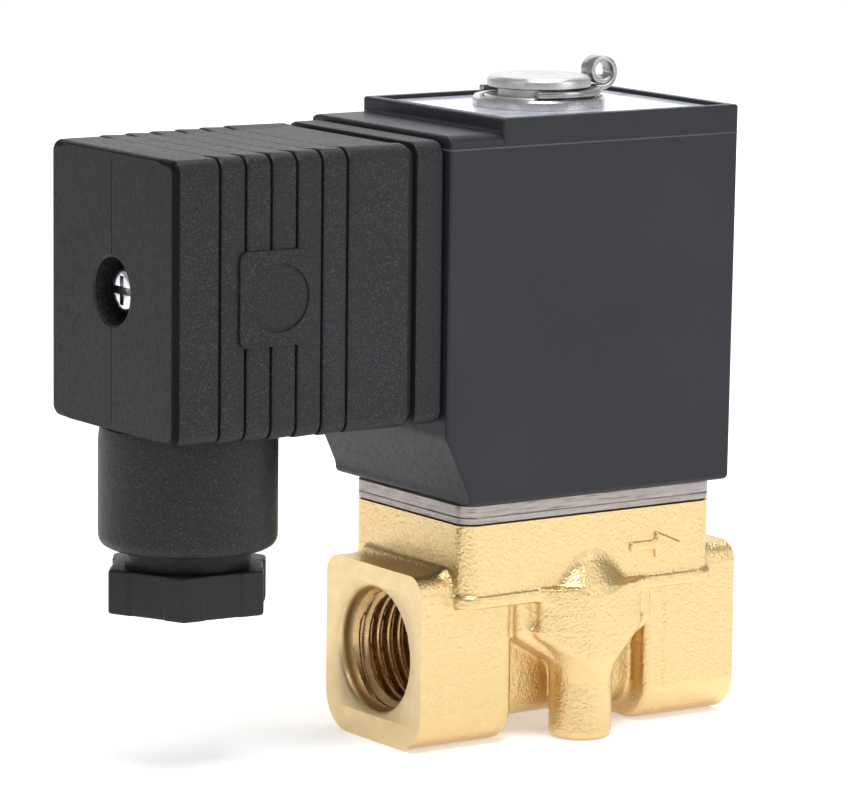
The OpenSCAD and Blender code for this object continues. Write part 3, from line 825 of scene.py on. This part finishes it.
def core_head():
    """Fixed core. Its head carries the clip groove and faint turning marks."""
    profile = [
        (0, 46.02), (2.7, 46.02), (2.7, 47.2), (3.6, 47.2), (3.6, 46.02), (4.9, 46.02), (4.9, 62.0),
        (5.84, 62.0), (5.84, 67.65), (5.72, 67.8), (4.4, 67.8), (4.4, 68.6), (5.3, 68.6), (5.5, 68.72),
        (5.5, 69.4), (5.46, 69.5), (5.2, 69.76), (5.06, 69.8), (4.4, 69.8), (4.3, 69.78), (1.2, 69.78),
        (0.5, 69.7), (0, 69.66),
    ]
    obj = lathe("core_head", profile, [BRIGHT_HEAD], n=128)
    shade(obj, 34)
    place(obj, "valve_body", ["fixed_core"])


# ---------------------------------------------------------------- retaining clip


def clip():
    """Flat spring clip: a C-shaped strip whose tail is rolled into a finger grip."""
    r_out, r_in, end_x, z0, z1 = 6.6, 4.48, -4.0, 67.9, 68.5
    tip = math.atan2(math.sqrt(r_out**2 - end_x**2), end_x)
    quarter = math.pi / 2
    outer = [(r_out * math.cos(a), r_out * math.sin(a)) for a in np.linspace(-tip, tip, 80)]
    inner = [(r_in * math.cos(a), r_in * math.sin(a)) for a in np.linspace(quarter, -quarter, 48)]
    outline = outer + [(end_x, r_in)] + inner + [(end_x, -r_in)]
    ring = slab("clip_ring", outline, z0, z1, "z", [CLIP_STEEL])
    soften(ring, 0.12, 2)
    # Strip: along the bottom, round the outside, over the top and back down, narrowing as it goes
    cx, r_mid, r_end, half = 7.9, 1.525, 0.92, 0.275
    cz = z0 + half + r_mid
    straight = [(4.7 + 0.3 * i, cz - r_mid) for i in range(10)]
    turn = np.linspace(-90, 330, 76)
    radius = np.interp(turn, (150, 250), (r_mid, r_end))
    angle = np.radians(turn)
    rolled = np.stack([cx + radius * np.cos(angle), cz + radius * np.sin(angle)], 1)
    path = np.concatenate([straight, rolled])
    ahead = np.gradient(path, axis=0)
    ahead /= np.linalg.norm(ahead, axis=1, keepdims=True)
    up = np.stack([-ahead[:, 1], ahead[:, 0]], 1)
    section = rounded_rect(0.98, half, 0.1, 2)
    wide, thick = section.T
    rings = [np.stack([p[0] + n[0] * thick, wide, p[1] + n[1] * thick], 1) for p, n in zip(path, up)]
    verts, faces = skin(rings)
    curl = mesh_piece("clip_curl", verts, faces, [CLIP_STEEL])
    cut(ring, curl, operation="UNION")
    turned = Matrix.Rotation(math.radians(1), 4, "Z")
    ring.data.transform(turned)
    shade(ring, 40)
    ring.name = "spring_clip"
    place(ring, "clip", ["retaining_clip"])


# ---------------------------------------------------------------- coil


def housing_rounding(mid, along):
    """Bevel width of one of the housing's edges, from its middle and direction."""
    if abs(mid.z - SHOULDER_Z) < 0.1 and abs(along.x) > 0.9:
        return 1.2
    if mid.z < 26.8:
        return 0.55
    if mid.z > 66.9 or (abs(along.y) > 0.9 and mid.z < 34):
        return 0.3
    return 0.35


def coil_housing():
    """Moulded coil block, a little wider at the top, with a pocket for the label in its lid."""
    foot_z, top_z = 26.7, 67.0
    outline = [
        (-17.1, foot_z), (16.5, foot_z), (16.7, top_z), (-13.7, top_z), (-13.7, SHOULDER_Z),
        (-20.2, SHOULDER_Z), (-20.2, 34.2), (-18.65, 31.1), (-17.4, 28.4), (-17.1, 27.6),
    ]
    n = len(outline)
    half = [12.86 + 0.24 * (z - foot_z) / (top_z - foot_z) for _, z in outline]
    verts = [(x, s * y, z) for s in (-1, 1) for (x, z), y in zip(outline, half)]
    faces = [tuple(range(n)), tuple(range(n, 2 * n))]
    faces += [(i, (i + 1) % n, n + (i + 1) % n, n + i) for i in range(n)]
    obj = mesh_piece("coil_moulding", verts, faces, [COIL_PLASTIC])
    bm = bmesh.new()
    bm.from_mesh(obj.data)
    weight = bm.edges.layers.float.new("bevel_weight_edge")
    widest = 1.2
    for e in bm.edges:
        a, b = (v.co / MM for v in e.verts)
        e[weight] = housing_rounding((a + b) / 2, (b - a).normalized()) / widest
    bm.to_mesh(obj.data)
    bm.free()
    m = obj.modifiers.new("soften", "BEVEL")
    m.width, m.segments, m.limit_method = widest * MM, 4, "WEIGHT"
    bake(obj)
    pocket_levels = ((66.2, 14.05, 11.95), (68, 14.2, 12.1))
    sections = [(z, rounded_rect(hw, hh, 0.5, 5, POCKET_X)) for z, hw, hh in pocket_levels]
    cut(obj, loft("cutter", sections, [], "z"), rod(TUBE_HOLE_R, 20, 70, "z", n=96))
    shade(obj, 32)
    place(obj, "coil", ["coil_housing"])


def coil_flash():
    """Thin parting-line ridge all round the housing, under its lid."""
    middle_x = -1.765
    rings = []
    for z, out in ((63.93, -0.05), (64.01, 0.06), (64.09, 0.06), (64.17, -0.05)):
        section = rounded_rect(18.45 + out, 13.08 + out, 0.4, 5, middle_x)
        rings.append(lift(section, z, "z"))
    inner = rounded_rect(18.2, 12.8, 0.35, 5, middle_x)
    rings.append(lift(inner, 64.05, "z"))
    verts, faces = skin(rings, closed=True)
    obj = mesh_piece("coil_parting_line", verts, faces, [FLASH_PLASTIC])
    shade(obj, 60)
    place(obj, "coil")


def nameplate():
    """Blank film label in the lid's pocket."""
    levels = [(66.22, 0.0), (66.52, 0.0), (66.6, 0.08)]
    sections = [(z, rounded_rect(13.95 - d, 11.85 - d, 0.4, 5, POCKET_X)) for z, d in levels]
    obj = loft("film_label", sections, [LABEL_FILM], "z")
    cut(obj, rod(6.05, 60, 70, "z", n=96))
    shade(obj, 30)
    place(obj, "coil", ["nameplate"])


def washer():
    """Flat washer between the label and the clip, rounded by stamping."""
    profile = [
        (5.99, 66.62), (7.0, 66.62), (7.02, 66.72), (7.02, 67.42), (6.86, 67.63), (6.1, 67.63),
        (5.99, 67.5),
    ]
    obj = lathe("flat_washer", profile, [WASHER_STEEL], n=128, closed=True)
    shade(obj, 34)
    place(obj, "coil", ["top_washer"])


def terminal_band():
    """Moulded base behind the gasket, with a sunken neck that leaves a dark joint line at the housing."""
    hw, hh = 12.3, 14.65
    levels = [(-23.8, 0.25), (-23.72, 0.08), (-23.5, 0.0), (-20.85, 0.0), (-20.6, 0.1), (-20.5, 0.35)]
    sections = [(x, rounded_rect(hw - d, hh - d, 1.5 - d, 8, 0, BASE_MID)) for x, d in levels]
    neck = rounded_rect(10.9, 13.4, 1.0, 8, 0, BASE_MID)
    sections += [(-20.5, neck), (-20.22, neck)]
    obj = loft("terminal_band", sections, [GRAINED_PLASTIC], "x")
    cut(obj, rod(2.2, -25, -19, "x", (0, PLUG_MID), 48))
    # Slots for the contact blades
    for lo, hi in (
        ((-25, -5.42, 52.85), (-19, -4.58, 59.25)),
        ((-25, 4.58, 52.85), (-19, 5.42, 59.25)),
        ((-25, -3.2, 41.85), (-19, 3.2, 42.75)),
    ):
        cut(obj, box(lo, hi))
    shade(obj, 34)
    place(obj, "coil", ["terminal_base"])


# ---------------------------------------------------------------- connector


def plug_outline():
    """Perimeter of the connector, with extra points where the ridges fade out.
    Each row is y, z, outward y and outward z."""
    pts = rounded_rect(HALF_W, HALF_H, PLUG_R, 8)
    dense = []
    for i, a in enumerate(pts):
        b = pts[(i + 1) % len(pts)]
        dense.append(tuple(a))
        if abs(a[1] - b[1]) < 1e-6 and abs(a[0] - b[0]) > 5:
            s = math.copysign(1, b[0] - a[0])
            for y in (10.2, 9.6, 9.0, 8.4, 7.0, 0, -7.0, -8.4, -9.0, -9.6, -10.2):
                dense.append((-s * y, a[1]))
        elif abs(a[0] - b[0]) < 1e-6 and abs(a[1] - b[1]) > 5:
            for t in np.linspace(0, 1, 9)[1:-1]:
                dense.append((a[0], a[1] + t * (b[1] - a[1])))
    out = []
    for y, z in dense:
        ny = np.clip(abs(y) - (HALF_W - PLUG_R), 0, None) * np.sign(y)
        nz = np.clip(abs(z) - (HALF_H - PLUG_R), 0, None) * np.sign(z)
        length = math.hypot(ny, nz) or 1
        out.append((y, z, ny / length, nz / length))
    return np.array(out)


def connector_housing():
    """Plug shell with ridges, grip pads and gland barrel."""
    skins = [GRAINED_PLASTIC, SATIN_SHADED_PLASTIC, PAINTED_DARK_RIM_PLASTIC]
    satin_shaded, painted_dark = 1, 2
    y, z, ny, nz = plug_outline().T
    # Ridges run down the sides and a little way onto the top and bottom, and are lower beyond that
    wrap, lower = step(np.abs(y), 8.6, 10.6), 0.35

    def section(x, out, groove=0.0):
        grow = out * wrap + out * lower * (1 - wrap) - groove * wrap
        return (x, np.stack([y + ny * grow, PLUG_MID + z + nz * grow], 1))

    arc = np.linspace(0, math.pi / 2, 7)
    sections = [section(PLUG_X0 + END_R * (1 - math.cos(t)), -END_R * (1 - math.sin(t))) for t in arc]
    level = 0.0
    for x in RIDGES:
        sections += [
            section(x - 0.34, level),
            section(x - 0.28, level, 0.05),
            section(x - 0.22, level, 0.34),
            section(x - 0.06, level, 0.34),
            section(x, level + 0.04),
            section(x + 0.14, level + 0.11),
            section(x + 0.5, level + 0.12),
        ]
        level += 0.04
    # Set back next to the gasket, which leaves a dark joint; the band there is also painted near black
    # further down, as painted shade
    for before, sunk in ((0.75, 0.0), (0.55, 0.08), (0.48, 1.2), (0.0, 1.2)):
        sections.append(section(PLUG_X1 - before, level - sunk))
    obj = loft("plug_shell", sections, skins, "x")
    # Raised grip pads with a shallow round recess
    for s in (-1, 1):
        lo, hi = sorted((s * 11.0, s * 12.65))
        pad = slab("pad", rounded_rect(4.9, 4.15, 1.0, 6, PLUG_MID, -41.05), lo, hi, "y")
        soften(pad, 0.16, 2, 60)
        recess = rod(3.5, *sorted((s * 12.42, s * 13.5)), "y", (PLUG_MID, -40.5), 64)
        cut(pad, recess)
        cut(obj, pad, operation="UNION")
    # Gland barrel
    barrel = [
        (0, 23.45), (7.85, 23.42), (8.45, 23.5), (8.85, 23.72), (9.1, 24.05), (9.22, 24.45),
        (9.25, 24.9), (9.25, 34.4), (9.1, 35.9), (8.9, 36.4), (0, 36.4),
    ]
    barrel = lathe("barrel", barrel, [], "z", (GLAND_X, 0), 128)
    cut(obj, barrel, operation="UNION")
    # Cavity with the sleeve for the fixing screw
    cavity = box((-50.0, -10, 38.2), (-20, 10, 62.4))
    cut(cavity, rod(3.9, -55, -41, "x", (0, PLUG_MID)))
    cut(obj, cavity)
    recess = [(3.75, -53.2), (3.75, -52.62), (3.5, -52.4), (3.5, -48.9)]
    cut(obj, lathe("cutter", recess, [], "x", (0, PLUG_MID), 96))
    cut(obj, rod(1.8, -50, -30, "x", (0, PLUG_MID)))
    # Faint mould line down the end face
    cut(obj, box((-52.7, -0.05, 36.9), (PLUG_X0 + 0.03, 0.05, 63.7)))
    # Gland bore and the cable's way into the wiring space
    cut(obj, rod(6.53, 20, 36, "z", (GLAND_X, 0), 96), rod(4.5, 30, 40, "z", (GLAND_X, 0), 64))
    # The end face is smoother than the grained sides and is painted darker, as painted shade on that
    # side. Its round edge and the band next to the gasket are painted near black: a painted dark
    # reflection on the edge and painted shade in the joint
    for f in obj.data.polygons:
        x, y, z = f.center / MM
        if x < PLUG_X0 + END_R * 0.8 and z > 35.9 and math.hypot(y, z - PLUG_MID) > 3.8:
            f.material_index = satin_shaded if f.normal.x < -0.97 else painted_dark
        elif x > PLUG_X1 - 0.52:
            f.material_index = painted_dark
    shade(obj, 34)
    place(obj, "connector", ["connector_housing"])


def gasket():
    """Flat rubber frame, set back from the outline."""
    outer = rounded_rect(11.6, 14.0, 1.0, 8, 0, BASE_MID)
    inner = rounded_rect(9.0, 11.3, 1.0, 8, 0, PLUG_MID)
    x0, x1 = -24.34, -23.84
    rings = [lift(o, x, "x") for o, x in ((outer, x0), (outer, x1), (inner, x1), (inner, x0))]
    verts, faces = skin(rings, closed=True)
    obj = mesh_piece("flat_gasket", verts, faces, [RUBBER])
    soften(obj, 0.08, 2, 50)
    shade(obj, 34)
    place(obj, "connector", ["connector_gasket"])


def fixing_screw():
    """Plated pan-head screw with a combined slot and cross recess."""
    head = [
        (0, -51.42), (1.4, -51.4), (1.85, -51.34), (2.12, -51.2), (2.26, -50.98), (2.3, -50.7),
        (2.3, -49.5), (2.24, -49.4),
    ]
    shank = [(1.5, -49.4), (1.5, -17.0), (1.1, -16.4), (0, -16.4)]
    obj = lathe("plug_screw", head + shank, [ZINC], "x", (0, PLUG_MID), 64)
    slot = box((-52, -3, PLUG_MID - 0.4), (-50.5, 3, PLUG_MID + 0.4))
    cross = box((-52, -0.35, PLUG_MID - 1.5), (-50.2, 0.35, PLUG_MID + 1.5))
    cut(obj, slot, cross)
    soften(obj, 0.07, 2, 50)
    shade(obj, 34)
    place(obj, "fixing_screw", ["fixing_screw"])


# ---------------------------------------------------------------- gland


def slip_ring():
    """Clear ring between the barrel and the nut."""
    profile = [(6.52, 21.72), (7.7, 21.72), (7.8, 21.82), (7.8, 23.3), (7.7, 23.38), (6.52, 23.38)]
    obj = lathe("clear_ring", profile, [CLEAR], "z", (GLAND_X, 0), 96, closed=True)
    shade(obj, 34)
    place(obj, "gland_ring", ["gland_slip_ring"])


def nut_outline(inset):
    """Hexagon whose corners stand out from slightly sunken flats."""
    apothem = NUT_HALF - inset
    # Distance along the flat from the corner, and depth below the full hexagon
    steps = ((2.6, 0.24), (2.25, 0.03), (0.12, 0.0))
    pts = []
    for i in range(6):
        corner = math.radians(60 * i - 4)
        for s in (-1, 1):
            flat = corner + s * math.pi / 6
            cos, sin = math.cos(flat), math.sin(flat)
            for away, sunk in steps if s < 0 else reversed(steps):
                along = s * (away - apothem * math.tan(math.pi / 6))
                r = apothem - sunk
                pts.append((GLAND_X + r * cos - along * sin, r * sin + along * cos))
    return np.array(pts)


def gland_nut():
    """Hexagonal nut with the neck that goes up into the barrel, and the hole for the cable."""
    levels = [(16.95, 0.3), (17.05, 0.1), (17.25, 0.0), (21.3, 0.0), (21.5, 0.1), (21.6, 0.3)]
    obj = loft("hex_nut", [(z, nut_outline(d)) for z, d in levels], [NUT_PLASTIC], "z")
    neck = [(0, 21.3), (6.45, 21.3), (6.45, 29.4), (6.1, 30.0), (0, 30.0)]
    cut(obj, lathe("neck", neck, [], "z", (GLAND_X, 0), 96), operation="UNION")
    cable_hole = [(4.5, 16.0), (4.5, 16.95), (4.0, 17.4), (4.0, 31.0)]
    cut(obj, lathe("cutter", cable_hole, [], "z", (GLAND_X, 0), 64))
    shade(obj, 30)
    place(obj, "gland_nut", ["gland_nut"])


# ---------------------------------------------------------------- build

brass_body()
flow_arrow()
plate()
core_head()
clip()
coil_housing()
coil_flash()
nameplate()
washer()
terminal_band()
connector_housing()
gasket()
fixing_screw()
slip_ring()
gland_nut()

# CAD nodes that are shown as they are, with the material of each
KEPT = {
    "body_seal_ring": RUBBER,
    "armature_tube": STAINLESS,
    "shading_ring": COPPER,
    "flange_screws": ZINC,
    "plunger": STAINLESS,
    "plunger_seal": RUBBER,
    "return_spring": CLIP_STEEL,
    "coil_bobbin": CREAM_NYLON,
    "copper_winding": WINDING,
    "winding_tape": YELLOW_TAPE,
    "yoke_frame": YOKE_STEEL,
    "screw_insert": MACHINED_BRASS,
    "contact_blades": TINNED,
    "terminal_block": WHITE_NYLON,
    "contact_sockets": MACHINED_BRASS,
    "terminal_screws": ZINC,
    "gland_grommet": RUBBER,
    "gland_thrust_ring": WASHER_STEEL,
    "screw_washer": RUBBER,
}
for name, material in KEPT.items():
    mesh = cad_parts[name].data
    mesh.materials.clear()
    mesh.materials.append(material)


# ---------------------------------------------------------------- stage, light and camera


def stage_floor():
    """Matt floor that glows a little, so that it comes out as white as the background."""
    s = Shader(
        "studio_floor",
        Roughness=0.9,
        Specular_IOR_Level=0.0,
        Emission_Color=(1, 1, 1, 1),
        Emission_Strength=0.36,
    )
    s.colour(s.ramp(s.noise(0.01, 3), (0.3, (0.90, 0.90, 0.90)), (0.7, (0.93, 0.93, 0.93))))
    s.bump(s.noise(0.5, 2), 0.02)
    half = 6000
    corners = [(-half, -half, 0), (half, -half, 0), (half, half, 0), (-half, half, 0)]
    floor = mesh_piece("floor", corners, [(0, 1, 2, 3)], [s.mat])
    # Just below the resting plane, so that the two don't flicker
    floor.location.z = -0.05 * MM


def light(name, kind, direction, energy, size):
    """A light aimed at the part's middle. size is a sun's angle, or a soft box's sides in metres."""
    middle, distance = Vector((0, 0, 0.03)), 0.6
    data = bpy.data.lights.new(name, kind)
    data.energy = energy
    if kind == "SUN":
        data.angle = size
    else:
        data.shape, data.size, data.size_y = "RECTANGLE", size[0], size[1]
    obj = bpy.data.objects.new(name, data)
    bpy.context.scene.collection.objects.link(obj)
    d = Vector(direction).normalized()
    obj.location = middle + d * distance
    obj.rotation_euler = d.to_track_quat("Z", "Y").to_euler()


stage_floor()
world = bpy.data.worlds.new("studio")
bpy.context.scene.world = world
world.use_nodes = True
background = world.node_tree.nodes["Background"]
background.inputs["Color"].default_value = (1.0, 1.0, 1.0, 1)
background.inputs["Strength"].default_value = 0.38
light("key", "SUN", (0.3, 0.12, 1.0), 1.0, 0.42)
light("softbox_top", "AREA", (-0.2, -0.45, 1.0), 1.9, (0.2, 0.2))
light("softbox_left", "AREA", (-1.0, -0.1, 0.6), 0.2, (0.3, 0.4))
light("softbox_right", "AREA", (0.55, -0.9, 0.5), 0.7, (0.3, 0.4))
light("softbox_back", "AREA", (0.5, 0.85, 0.42), 1.0, (0.8, 0.4))
bpy.context.scene.view_settings.view_transform = "Standard"

# Camera: its place in metres, and its right and up directions
camera = bpy.data.objects.new("camera", bpy.data.cameras.new("camera"))
bpy.context.scene.collection.objects.link(camera)
right = Vector((0.82743, -0.56147, 0.01060))
up = Vector((0.08147, 0.13868, 0.98698))
back = right.cross(up)
turn = Matrix((right, up, back)).transposed()
camera.matrix_world = Matrix.Translation((-0.31236, -0.43733, 0.12208)) @ turn.to_4x4()
camera.data.lens = 216.58
camera.data.sensor_width = 36
camera.data.clip_start, camera.data.clip_end = 0.01, 20
bpy.context.scene.camera = camera
